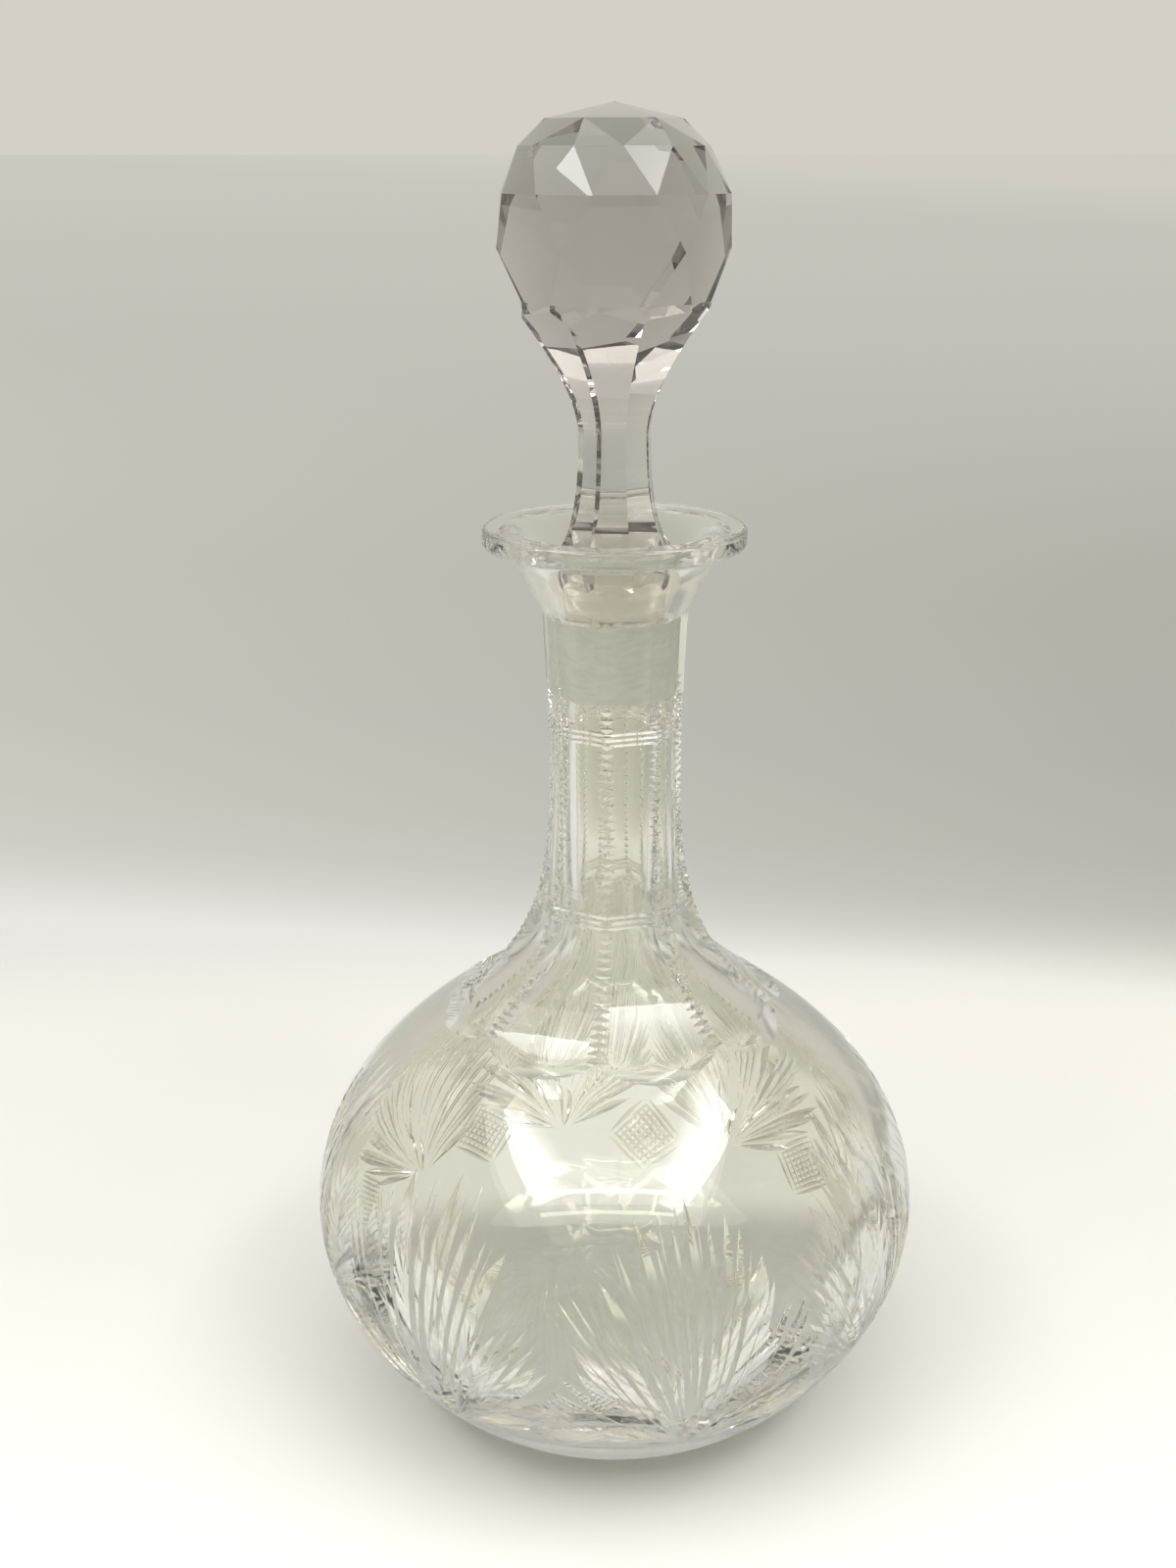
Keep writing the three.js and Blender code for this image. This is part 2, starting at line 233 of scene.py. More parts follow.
def panel_row(length, cut, rise=0.0, sink=0.0):
    """A row across the eight panels. A cut of 0 is round and 1 is flat from ridge to ridge."""
    flat = math.cos(PANEL_ANGLE / 2) / np.cos(PANEL_SHARE * PANEL_ANGLE / 2)
    lift = (NECK.total - length) * rise * PANEL_SHARE**2
    radius, height = NECK.at(length + lift)
    return around(radius * (1 - cut * (1 - flat)) - sink, AZIMUTHS, height)


def ring_rows(height):
    """Three V grooves round the neck, one above the other."""
    rows = []
    for ring in (-1, 0, 1):
        middle = NECK.length_at(height + ring * RING_PITCH)
        rows.append(panel_row(middle - RING_HALF_WIDTH, 1))
        rows.append(panel_row(middle, 1, sink=RING_DEPTH))
        rows.append(panel_row(middle + RING_HALF_WIDTH, 1))
    return rows


def neck_rows():
    """The panels, from their scalloped lower edge to the throat, with the two bands of rings."""
    rows = []
    for length, cut in PANEL_ONSET:
        rows.append(panel_row(length, cut, SCALLOP_RISE))
    low_ring, high_ring = (NECK.length_at(height) for height in RING_HEIGHTS)
    for length in np.linspace(4, low_ring - RING_BAND_HALF, 22):
        fade = max(0, 1 - length / (0.5 * low_ring))
        rows.append(panel_row(length, 1, SCALLOP_RISE * fade))
    rows += ring_rows(RING_HEIGHTS[0])
    for length in np.linspace(low_ring + RING_BAND_HALF, high_ring - RING_BAND_HALF, 24):
        rows.append(panel_row(length, 1))
    rows += ring_rows(RING_HEIGHTS[1])
    for length in np.linspace(high_ring + RING_BAND_HALF, NECK.total, 12):
        rows.append(panel_row(length, 1))
    return rows


def lip_rows():
    """The throat's flare, the lip's rounded edge and its flat top."""
    underside = BOTTLE_HEIGHT - LIP_THICKNESS
    foot = THROAT_HEIGHT + 0.8
    flare = bezier(
        (THROAT_RADIUS, foot),
        (THROAT_RADIUS + 1.9, foot + 0.25 * (underside - foot)),
        (THROAT_RADIUS + 4.4, foot + 0.75 * (underside - foot)),
        (LIP_RADIUS - 3.4, underside),
        14,
    )
    profile = [tuple(p) for p in flare]
    for start, middle in ((-90, underside + LIP_ROUNDING), (0, BOTTLE_HEIGHT - LIP_ROUNDING)):
        for angle in np.radians(np.linspace(start, start + 90, 7)):
            radius = LIP_RADIUS - LIP_ROUNDING + LIP_ROUNDING * math.cos(angle)
            profile.append((radius, middle + LIP_ROUNDING * math.sin(angle)))
    profile.append((MOUTH_RADIUS, BOTTLE_HEIGHT))
    return [round_row(*point) for point in profile]


def funnel_and_seat_rows():
    """From the lip's top down the funnel of the mouth and the ground seat to the bore."""
    profile = [tuple(p) for p in bezier(*MOUTH_CURVE, 12)] + [tuple(p) for p in bezier(*FUNNEL_CURVE, 8)]
    for share in np.linspace(0.1, 1, 10):
        radius = PLUG_TOP_RADIUS + share * (PLUG_FOOT_RADIUS - PLUG_TOP_RADIUS) + SEAT_CLEARANCE
        profile.append((radius, PLUG_TOP_HEIGHT + share * (PLUG_FOOT_HEIGHT - PLUG_TOP_HEIGHT)))
    profile.append((BORE_RADIUS, PLUG_FOOT_HEIGHT - SEAT_RUNOUT))
    return [round_row(*point) for point in profile]


def hollow_rows():
    """From the bore down through the neck to the bowl's inner floor."""
    slope = math.hypot(SHOULDER_SLOPE, 1)
    shoulder_radius = SHOULDER_RADIUS - SHOULDER_WALL / slope
    shoulder = np.array([shoulder_radius, SHOULDER_HEIGHT - SHOULDER_WALL * SHOULDER_SLOPE / slope])
    along = np.array([SHOULDER_SLOPE, -1.0])
    bore_foot = np.array([BORE_RADIUS, SHOULDER_HEIGHT + NECK_HANDLE * (WAIST_HEIGHT - SHOULDER_HEIGHT)])
    belly = np.array([BOWL_RADIUS - WALL, BELLY_HEIGHT])
    floor = np.array([FOOT_RADIUS - FLOOR_INSET, FLOOR_THICKNESS])
    drop = bore_foot[1] - shoulder[1]
    rise = shoulder[1] - BELLY_HEIGHT
    neck = bezier(bore_foot, bore_foot - (0, 0.45 * drop), shoulder - 0.26 * drop * along, shoulder, 24)
    upper = bezier(shoulder, shoulder + 0.26 * rise * along, belly + (0, 0.44 * rise), belly, 40)
    low_handle = ((floor[0] + belly[0]) / 2, FLOOR_THICKNESS + 0.08 * (BELLY_HEIGHT - FLOOR_THICKNESS))
    lower = bezier(belly, belly - (0, 0.5 * (BELLY_HEIGHT - FLOOR_THICKNESS)), low_handle, floor, 40)
    bore = [(BORE_RADIUS, height) for height in np.linspace(BORE_TOP_HEIGHT, bore_foot[1] + 3, 10)]
    bottom = []
    for share in (0.8, 0.6, 0.4, 0.2):
        bottom.append((floor[0] * share, FLOOR_THICKNESS - FLOOR_DISH * (1 - share**2)))
    profile = bore + [tuple(p) for p in np.vstack([neck, upper[1:], lower[1:]])] + bottom
    return [round_row(*point) for point in profile]


def foot_rows():
    """The flat foot, from its middle out to the bowl's first row."""
    return [round_row(radius, 0) for radius in FOOT_RING_RADII]


# Meshes


def faces_of_rows(rows, first=0):
    """Faces that join rows of points, each as long as the next, or one point long at a pole."""
    starts = first + np.concatenate([[0], np.cumsum([len(row) for row in rows])])
    faces = []
    for i in range(len(rows) - 1):
        here, following = len(rows[i]), len(rows[i + 1])
        for j in range(max(here, following)):
            a = starts[i] + j % here
            b = starts[i] + (j + 1) % here
            c = starts[i + 1] + (j + 1) % following
            d = starts[i + 1] + j % following
            if here == 1:
                faces.append((a, c, d))
            elif following == 1:
                faces.append((a, b, d))
            else:
                faces.append((a, b, c, d))
    if len(rows[0]) > 1:
        faces.append(tuple(starts[0] + j for j in reversed(range(len(rows[0])))))
    if len(rows[-1]) > 1:
        faces.append(tuple(starts[len(rows) - 1] + j for j in range(len(rows[-1]))))
    return [tuple(int(k) for k in face) for face in faces]


def new_object(name, points, faces, materials):
    mesh = bpy.data.meshes.new(name)
    mesh.from_pydata((np.vstack(points) * MM).tolist(), [], faces)
    for material in materials:
        mesh.materials.append(material)
    mesh.validate()
    piece = bpy.data.objects.new(name, mesh)
    bpy.context.scene.collection.objects.link(piece)
    return piece


def solid_from_rows(name, rows, materials):
    return new_object(name, rows, faces_of_rows(rows), materials)


def solid_from_many(name, solids, materials):
    """One object that holds several closed solids, each given by its rows."""
    points = []
    faces = []
    count = 0
    for rows in solids:
        faces += faces_of_rows(rows, count)
        points += list(rows)
        count += sum(len(row) for row in rows)
    return new_object(name, points, faces, materials)


def combine(piece, operation, tools):
    """Applies a boolean of the piece with all the tools, which are then deleted."""
    group = bpy.data.collections.new(piece.name + "_tools")
    bpy.context.scene.collection.children.link(group)
    for tool in tools:
        bpy.context.scene.collection.objects.unlink(tool)
        group.objects.link(tool)
    step = piece.modifiers.new("combine", "BOOLEAN")
    step.operation = operation
    step.solver = "MANIFOLD"
    step.operand_type = "COLLECTION"
    step.collection = group
    step.material_mode = "TRANSFER"
    graph = bpy.context.evaluated_depsgraph_get()
    result = bpy.data.meshes.new_from_object(piece.evaluated_get(graph))
    piece.modifiers.clear()
    old = piece.data
    piece.data = result
    bpy.data.meshes.remove(old)
    for tool in tools:
        mesh = tool.data
        bpy.data.objects.remove(tool)
        bpy.data.meshes.remove(mesh)
    bpy.data.collections.remove(group)


def shade(piece, sharp_degrees):
    """Smooth shading with hard edges where the surface turns by more than the angle."""
    piece.data.shade_smooth()
    piece.data.set_sharp_from_angle(angle=math.radians(sharp_degrees))


# Cuts on the bowl and up the neck

# Half a cut's width for each millimetre of its depth, the steps in which it is followed, and how far its two ends
# stand off the surface
WHEEL_SLOPE = 1.25
GROOVE_STEP = 0.8
GROOVE_LIFT = 0.06


def groove(azimuth, height, turn, start, end, depth, peak=0.5, steps=9):
    """Rows of a pointed V cut that leaves a fan's foot at a turn from upright, in degrees.

    It runs from start to end, measured along the surface, and is deepest at its peak's share of the way.
    """
    over = min(0.5, 0.35 + 0.3 * depth)
    lengths = np.linspace(start, end, steps + 1)
    heading = math.radians(turn)
    place = BOWL.length_at(height)
    angle = azimuth
    walked = 0.0
    rows = []
    for i, length in enumerate(lengths):
        while walked < length:
            step = min(GROOVE_STEP, length - walked)
            place += step * math.cos(heading)
            angle += step * math.sin(heading) / BOWL.at(place)[0]
            walked += step
        share = i / steps
        bite = depth * math.sin(math.pi * share ** (math.log(0.5) / math.log(peak))) - GROOVE_LIFT
        radius, level = BOWL.at(place)
        out_step, up_step = BOWL.slope(place)
        outward = around(up_step, angle, -out_step)
        upward = around(out_step, angle, up_step)
        sideways = np.array([math.cos(angle), math.sin(angle), 0])
        along = math.cos(heading) * upward + math.sin(heading) * sideways
        across = np.cross(outward, along)
        surface = around(radius, angle, level)
        rim = surface + over * outward
        width = (bite + over) * WHEEL_SLOPE
        rows.append(np.array([surface - bite * outward, rim + width * across, rim - width * across]))
    return rows


# The cuts of one fan: turn from upright in degrees, start, end and depth in millimetres, and the share of its
# length at which it is deepest
FAN_CUTS = (
    # broad leaves
    (-22, 2, 51, 2.1, 0.76),
    (18, 2, 50, 2.2, 0.78),
    (-12, 4, 58, 1.5, 0.74),
    (-40, 1, 35.5, 1.45, 0.7),
    (41, 1, 35.5, 1.45, 0.7),
    (-51, 1, 35, 1.0, 0.66),
    (52, 1, 35, 1.0, 0.66),
    # middle leaves
    (25, 1, 36, 1.35, 0.74),
    (-29.5, 1, 35, 1.35, 0.74),
    (5, 4, 31, 1.1, 0.7),
    (0.5, 18, 59.5, 1.2, 0.62),
    (8.5, 14, 57.5, 1.1, 0.62),
    (-60, 1, 28, 0.9, 0.6),
    (61, 1, 28, 0.9, 0.6),
    (-71, 1, 21, 0.8, 0.6),
    (71, 1, 21, 0.8, 0.6),
    # short leaves at the foot
    (-35, 1, 24, 1.0, 0.66),
    (32, 1, 25, 1.0, 0.66),
    (-9, 0.5, 11, 1.3, 0.55),
    (10, 0.5, 17, 1.4, 0.55),
    # feathers
    (-8.5, 12, 54.5, 0.9, 0.62),
    (-16, 14, 54, 0.9, 0.62),
    (-4, 20, 57, 0.7, 0.62),
    (4, 24, 57, 0.8, 0.62),
    (12, 12, 53, 1.0, 0.62),
    (-32.5, 5, 49, 1.0, 0.62),
    (-29, 10, 48, 0.8, 0.62),
    (-35.5, 6, 42.5, 0.9, 0.62),
    (-44, 6, 37, 0.9, 0.62),
    (21, 14, 44, 1.0, 0.62),
    (28, 6, 40, 0.9, 0.62),
    (32, 6, 42, 0.9, 0.62),
    (35.5, 6, 40, 0.8, 0.62),
    (44, 6, 37, 0.9, 0.62),
    (-54.5, 4, 34, 1.0, 0.62),
    (54.5, 4, 34, 1.0, 0.62),
    # hair lines
    (-18.5, 32, 55, 0.3, 0.5),
    (-6, 34, 58, 0.3, 0.5),
    (2.5, 34, 59, 0.3, 0.5),
    (15, 30, 52.5, 0.3, 0.5),
    (-27, 30, 48, 0.3, 0.5),
    (26, 26, 43, 0.3, 0.5),
)

# Each fan's turn about the axis in degrees and its foot's height, which differ because they are cut by hand
FANS = (
    (14.5, 17.5),
    (58, 21),
    (104, 23),
    (150, 23.5),
    (193.5, 23.5),
    (234, 25.5),
    (282, 27),
    (325.5, 17.5),
)
FAN_SEED = 11
LEAN_SPREAD = 1
REACH_SPREAD = 0.03


def fan_tools(material):
    """Tools for the fans: each object holds the same cut of all the fans, so no two of its solids meet."""
    chance = np.random.RandomState(FAN_SEED)
    tools = []
    for number, (turn, start, end, depth, peak) in enumerate(FAN_CUTS):
        solids = []
        for fan_turn, height in FANS:
            lean = turn + chance.uniform(-LEAN_SPREAD, LEAN_SPREAD)
            tip = end * (1 + chance.uniform(-REACH_SPREAD, REACH_SPREAD))
            solids.append(groove(math.radians(fan_turn), height, lean, start, tip, depth, peak))
        tools.append(solid_from_many(f"fan_cut_{number}", solids, [material]))
    return tools


# Each hatched field's middle, between the fans: its turn about the axis in degrees and its height
HATCHES = (
    (36.3, 23.3),
    (81, 26),
    (127, 27.3),
    (171.8, 22),
    (213.8, 28.5),
    (258, 30.3),
    (303.8, 27),
    (350.4, 25.6),
)
HATCH_LEAN = 50
HATCH_HALF = 6.6
HATCH_LINES = 10
HATCH_DEPTH = 0.5


def hatch_tools(material):
    """Fields of small diamonds midway between the fans, cut by lines that lean either way."""
    tools = []
    for lean in (HATCH_LEAN, -HATCH_LEAN):
        for number, offset in enumerate(np.linspace(-HATCH_HALF, HATCH_HALF, HATCH_LINES)):
            solids = [hatch_line(math.radians(turn), height, lean, offset) for turn, height in HATCHES]
            tools.append(solid_from_many(f"hatch_{lean}_{number}", solids, [material]))
    return tools


def hatch_line(azimuth, height, lean, offset):
    """A short straight cut that leans from upright. Its middle lies an offset away, along the other lean."""
    heading = math.radians(lean)
    place = BOWL.length_at(height) + (offset - HATCH_HALF) * math.cos(heading)
    radius, level = BOWL.at(place)
    start = azimuth - (offset + HATCH_HALF) * math.sin(heading) / radius
    return groove(start, level, lean, 0, 2 * HATCH_HALF, HATCH_DEPTH, steps=5)


def notch_tools(material):
    """Small V notches up each ridge of the neck, in alternate objects so that neighbours stay apart."""
    first, last = (NECK.length_at(height) for height in NOTCH_HEIGHTS)
    lengths = np.arange(first, last, NOTCH_PITCH)
    tools = []
    for phase in range(2):
        solids = []
        for length in lengths[phase::2]:
            for ridge in range(PANELS):
                solids.append(notch(PANEL_TURN + ridge * PANEL_ANGLE, length))
        tools.append(solid_from_many(f"notch_{phase}", solids, [material]))
    return tools


def notch(azimuth, length):
    """Rows of one V notch across a ridge of the neck."""
    radius, height = NECK.at(length)
    out_step, up_step = NECK.slope(length)
    outward = around(up_step, azimuth, -out_step)
    upward = around(out_step, azimuth, up_step)
    sideways = np.array([math.cos(azimuth), math.sin(azimuth), 0])
    ridge = around(radius, azimuth, height)
    width = NOTCH_HALF_WIDTH * (NOTCH_DEPTH + NOTCH_OVERLAP) / NOTCH_DEPTH
    rows = []
    for side in (-1, 1):
        middle = ridge + side * NOTCH_HALF_LENGTH * sideways
        rim = middle + NOTCH_OVERLAP * outward
        rows.append(np.array([middle - NOTCH_DEPTH * outward, rim + width * upward, rim - width * upward]))
    return rows


# Materials

GLASS_IOR = 1.53
FROST_BLEND = 0.3


def glass(name, clearness):
    """A principled glass. What isn't clear is milky."""
    material = bpy.data.materials.new(name)
    material.use_nodes = True
    shader = material.node_tree.nodes["Principled BSDF"]
    shader.inputs["IOR"].default_value = GLASS_IOR
    shader.inputs["Transmission Weight"].default_value = clearness
    return material, shader


def noise(material, scale, detail, stretch=(1, 1, 1)):
    """A noise texture in object space, in metres."""
    nodes = material.node_tree.nodes
    links = material.node_tree.links
    coordinates = nodes.new("ShaderNodeTexCoord")
    mapping = nodes.new("ShaderNodeMapping")
    mapping.inputs["Scale"].default_value = stretch
    texture = nodes.new("ShaderNodeTexNoise")
    texture.inputs["Scale"].default_value = scale
    texture.inputs["Detail"].default_value = detail
    links.new(coordinates.outputs["Object"], mapping.inputs["Vector"])
    links.new(mapping.outputs["Vector"], texture.inputs["Vector"])
    return texture


def vary(material, texture, target, low, high, start=0.35, end=0.65):
    """Drives a number of the shader between two values by a texture."""
    ramp = material.node_tree.nodes.new("ShaderNodeMapRange")
    ramp.inputs["From Min"].default_value = start
    ramp.inputs["From Max"].default_value = end
    ramp.inputs["To Min"].default_value = low
    ramp.inputs["To Max"].default_value = high
    material.node_tree.links.new(texture.outputs["Fac"], ramp.inputs["Value"])
    material.node_tree.links.new(ramp.outputs["Result"], target)


def tint(material, texture, target, dark, light):
    """Drives a colour between two tones by a texture."""
    ramp = material.node_tree.nodes.new("ShaderNodeValToRGB")
    ramp.color_ramp.elements[0].position = 0.35
    ramp.color_ramp.elements[0].color = (*dark, 1)
    ramp.color_ramp.elements[1].position = 0.65
    ramp.color_ramp.elements[1].color = (*light, 1)
    material.node_tree.links.new(texture.outputs["Fac"], ramp.inputs["Fac"])
    material.node_tree.links.new(ramp.outputs["Color"], target)


def bump(material, texture, shader, strength, distance):
    """Roughens the surface by a texture. The distance is in metres."""
    node = material.node_tree.nodes.new("ShaderNodeBump")
    node.inputs["Strength"].default_value = strength
    node.inputs["Distance"].default_value = distance
    material.node_tree.links.new(texture.outputs["Fac"], node.inputs["Height"])
    material.node_tree.links.new(node.outputs["Normal"], shader.inputs["Normal"])
    return node


def math_node(nodes, links, operation, first, second):
    """A maths node whose inputs are numbers or other nodes' outputs."""
    node = nodes.new("ShaderNodeMath")
    node.operation = operation
    for socket, value in zip(node.inputs, (first, second)):
        if isinstance(value, (int, float)):
            socket.default_value = value
        else:
            links.new(value, socket)
    return node.outputs["Value"]


def height_band(material, low, high):
    """1 between two heights of the piece as it stands, and 0 outside, with a narrow blend at either end."""
    nodes = material.node_tree.nodes
    links = material.node_tree.links
    split = nodes.new("ShaderNodeSeparateXYZ")
    links.new(nodes.new("ShaderNodeTexCoord").outputs["Object"], split.inputs["Vector"])
    ends = []
    for height, blend in ((low, FROST_BLEND), (high, -FROST_BLEND)):
        step = nodes.new("ShaderNodeMapRange")
        step.inputs["From Min"].default_value = (height - blend / 2) * MM
        step.inputs["From Max"].default_value = (height + blend / 2) * MM
        links.new(split.outputs["Z"], step.inputs["Value"])
        ends.append(step.outputs["Result"])
    return math_node(nodes, links, "MULTIPLY", *ends)


def polished_glass():
    """Clear glass with the faint waves of hand work and a film of handling marks."""
    material, shader = glass("polished_glass", 0.985)
    waves = noise(material, 45, 2)
    marks = noise(material, 160, 5, (1, 1, 0.4))
    tint(material, waves, shader.inputs["Base Color"], (0.945, 0.94, 0.875), (0.98, 0.975, 0.915))
    vary(material, marks, shader.inputs["Roughness"], 0.0, 0.035, 0.5, 0.75)
    bump(material, waves, shader, 0.12, 0.0004)
    return material


def cut_glass():
    """The faces of the cuts, with the fine lines that the wheel leaves."""
    material, shader = glass("cut_glass", 0.96)
    lines = noise(material, 900, 3, (1, 1, 0.12))
    tint(material, lines, shader.inputs["Base Color"], (0.93, 0.92, 0.83), (0.99, 0.98, 0.9))
    vary(material, lines, shader.inputs["Roughness"], 0.0, 0.06)
    bump(material, lines, shader, 0.14, 0.00008)
    return material


def hatched_glass():
    """The fine hatching, which the wheel leaves duller than the leaves."""
    material, shader = glass("hatched_glass", 0.8)
    lines = noise(material, 900, 3, (1, 1, 0.12))
    tint(material, lines, shader.inputs["Base Color"], (0.93, 0.92, 0.84), (1.0, 0.99, 0.92))
    vary(material, lines, shader.inputs["Roughness"], 0.05, 0.2)
    bump(material, lines, shader, 0.14, 0.00008)
    return material


def ground_glass():
    """The frosted faces of the seat."""
    material, shader = glass("ground_glass", 0.08)
    grain = noise(material, 900, 5)
    streaks = noise(material, 420, 5, (1, 1, 3))
    tint(material, streaks, shader.inputs["Base Color"], (0.9, 0.905, 0.83), (1.0, 1.0, 0.94))
    vary(material, grain, shader.inputs["Roughness"], 0.3, 0.6)
    bump(material, grain, shader, 0.5, 0.0001)
    return material


STOPPER_CLEARNESS = 0.975
STOPPER_ABSORPTION = (0.45, 0.42, 0.38, 1)
STOPPER_DENSITY = 24
PLUG_MILK = 0.9


def stopper_glass():
    """Thick faceted glass that absorbs a little light, frosted where the plug is ground."""
    material, shader = glass("stopper_glass", STOPPER_CLEARNESS)
    nodes = material.node_tree.nodes
    links = material.node_tree.links
    absorption = nodes.new("ShaderNodeVolumeAbsorption")
    absorption.inputs["Color"].default_value = STOPPER_ABSORPTION
    absorption.inputs["Density"].default_value = STOPPER_DENSITY
    links.new(absorption.outputs["Volume"], nodes["Material Output"].inputs["Volume"])
    waves = noise(material, 45, 2)
    tint(material, waves, shader.inputs["Base Color"], (0.95, 0.945, 0.935), (0.985, 0.98, 0.97))
    grain = noise(material, 900, 5)
    ground = height_band(material, PLUG_FOOT_HEIGHT + FROST_BLEND, PLUG_TOP_HEIGHT)
    milk = math_node(nodes, links, "MULTIPLY", ground, PLUG_MILK)
    clearness = math_node(nodes, links, "SUBTRACT", STOPPER_CLEARNESS, milk)
    links.new(clearness, shader.inputs["Transmission Weight"])
    rough = math_node(nodes, links, "ADD", grain.outputs["Fac"], 0.05)
    links.new(math_node(nodes, links, "MULTIPLY", rough, ground), shader.inputs["Roughness"])
    relief = bump(material, grain, shader, 0.5, 0.0001)
    links.new(ground, relief.inputs["Strength"])
    return material


# The two pieces

BOTTLE_SHARP_ANGLE = 17
STOPPER_SHARP_ANGLE = 8


def make_bottle(clear, cut, hatched, ground):
    """The bottle as one solid of rows, less its cuts, with a frosted seat."""
    outside = [round_row(*BOWL.at(length)) for length in np.linspace(0, BOWL.total, 96)[:-1]]
    rows = [pole_row(0), *foot_rows(), *outside, *neck_rows(), *lip_rows()]
    rows += [*funnel_and_seat_rows(), *hollow_rows(), pole_row(FLOOR_THICKNESS - FLOOR_DISH)]
    bottle = solid_from_rows("carafe_glass", rows, [clear, cut, hatched, ground])
    combine(bottle, "DIFFERENCE", [*fan_tools(cut), *hatch_tools(hatched), *notch_tools(cut)])
    paint_band(bottle, ground, PLUG_FOOT_HEIGHT, PLUG_TOP_HEIGHT, PLUG_TOP_RADIUS + 2 * SEAT_CLEARANCE)
    shade(bottle, BOTTLE_SHARP_ANGLE)
    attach(bottle, "carafe")
    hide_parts("carafe_body")
    return bottle


def paint_band(piece, material, low, high, radius):
    """Gives a material to the faces between two heights that lie within a radius of the axis."""
    mesh = piece.data
    slot = list(mesh.materials).index(material)
    for face in mesh.polygons:
        x, y, z = face.center / MM
        if low < z < high and math.hypot(x, y) < radius:
            face.material_index = slot


def ball_ring(count, turn, latitude, swell=0.0):
    """A ring of the ball's corners. Its turn and latitude are in degrees."""
    azimuths = np.radians(turn + 360 * np.arange(count) / count)
    rise = BALL_RADIUS * math.sin(math.radians(latitude))
    return around(BALL_RADIUS * math.cos(math.radians(latitude)) + swell, azimuths, BALL_HEIGHT + rise)


def ball_points():
    """The ball's corners. One of the high ring is cut deeper by hand, which widens the facet beside it."""
    high_ring = ball_ring(12, BALL_TURN + 15, 37.6)
    high_ring[-1] += around(-BALL_DENT, math.radians(BALL_TURN - 15), 0)
    rings = [
        pole_row(BALL_HEIGHT + BALL_CROWN * BALL_RADIUS),
        ball_ring(6, BALL_TURN - 15, 55),
        high_ring,
        ball_ring(12, BALL_TURN, 14.3),
        ball_ring(6, BALL_TURN - 15, -10.8),
        ball_ring(*BALL_LOW_RING),
    ]
    return np.vstack(rings)


def column_object(material):
    """A column from the ball's low ring past the shank's foot, which the flare trims."""
    azimuths = np.radians(BALL_TURN + 15 + 30 * np.arange(12))
    rows = [around(COLUMN_RADIUS, azimuths, height) for height in COLUMN_HEIGHTS]
    return hull_object("column", np.vstack([*rows, ball_ring(*BALL_LOW_RING)]), material)


def hull_object(name, points, material):
    """The convex solid round some points."""
    shell = bmesh.new()
    for point in points * MM:
        shell.verts.new(point)
    result = bmesh.ops.convex_hull(shell, input=shell.verts)
    loose = [part for part in result["geom_interior"] if isinstance(part, bmesh.types.BMVert)]
    bmesh.ops.delete(shell, geom=loose, context="VERTS")
    bmesh.ops.recalc_face_normals(shell, faces=shell.faces)
    mesh = bpy.data.meshes.new(name)
    shell.to_mesh(mesh)
    shell.free()
    mesh.materials.append(material)
    piece = bpy.data.objects.new(name, mesh)
    bpy.context.scene.collection.objects.link(piece)
    return piece


def flare_object(material):
    """The shank's flat sides, which spread from its waist to its foot below and over the ball above."""
    top = (0.9 * BALL_RADIUS, BALL_HEIGHT - 0.52 * BALL_RADIUS)
    foot_rise = SHANK_WAIST_HEIGHT - SHANK_FOOT_HEIGHT
    top_rise = top[1] - SHANK_WAIST_HEIGHT
    lower = bezier(
        (SHANK_FOOT_RADIUS, SHANK_FOOT_HEIGHT),
        (SHANK_RADIUS + 0.2 * (SHANK_FOOT_RADIUS - SHANK_RADIUS), SHANK_FOOT_HEIGHT + 0.16 * foot_rise),
        (SHANK_RADIUS, SHANK_FOOT_HEIGHT + 0.6 * foot_rise),
        (SHANK_RADIUS, SHANK_WAIST_HEIGHT),
        24,
    )
    upper = bezier(
        (SHANK_RADIUS, SHANK_WAIST_HEIGHT),
        (SHANK_RADIUS, SHANK_WAIST_HEIGHT + 0.3 * top_rise),
        (SHANK_RADIUS + 0.46 * (top[0] - SHANK_RADIUS), SHANK_WAIST_HEIGHT + 0.64 * top_rise),
        top,
        28,
    )
    profile = [(SHANK_FOOT_RADIUS - 2, SHANK_FOOT_HEIGHT - 5)]
    profile += [tuple(p) for p in np.vstack([lower, upper[1:]])]
    profile += [(2 * BALL_RADIUS, BALL_HEIGHT), (2 * BALL_RADIUS, BALL_HEIGHT + 2 * BALL_RADIUS)]
    corners = STOPPER_TURN + np.arange(SHANK_SIDES) * math.pi / 4
    rows = [around(radius / math.cos(math.pi / SHANK_SIDES), corners, height) for radius, height in profile]
    return solid_from_rows("flare", rows, [material])


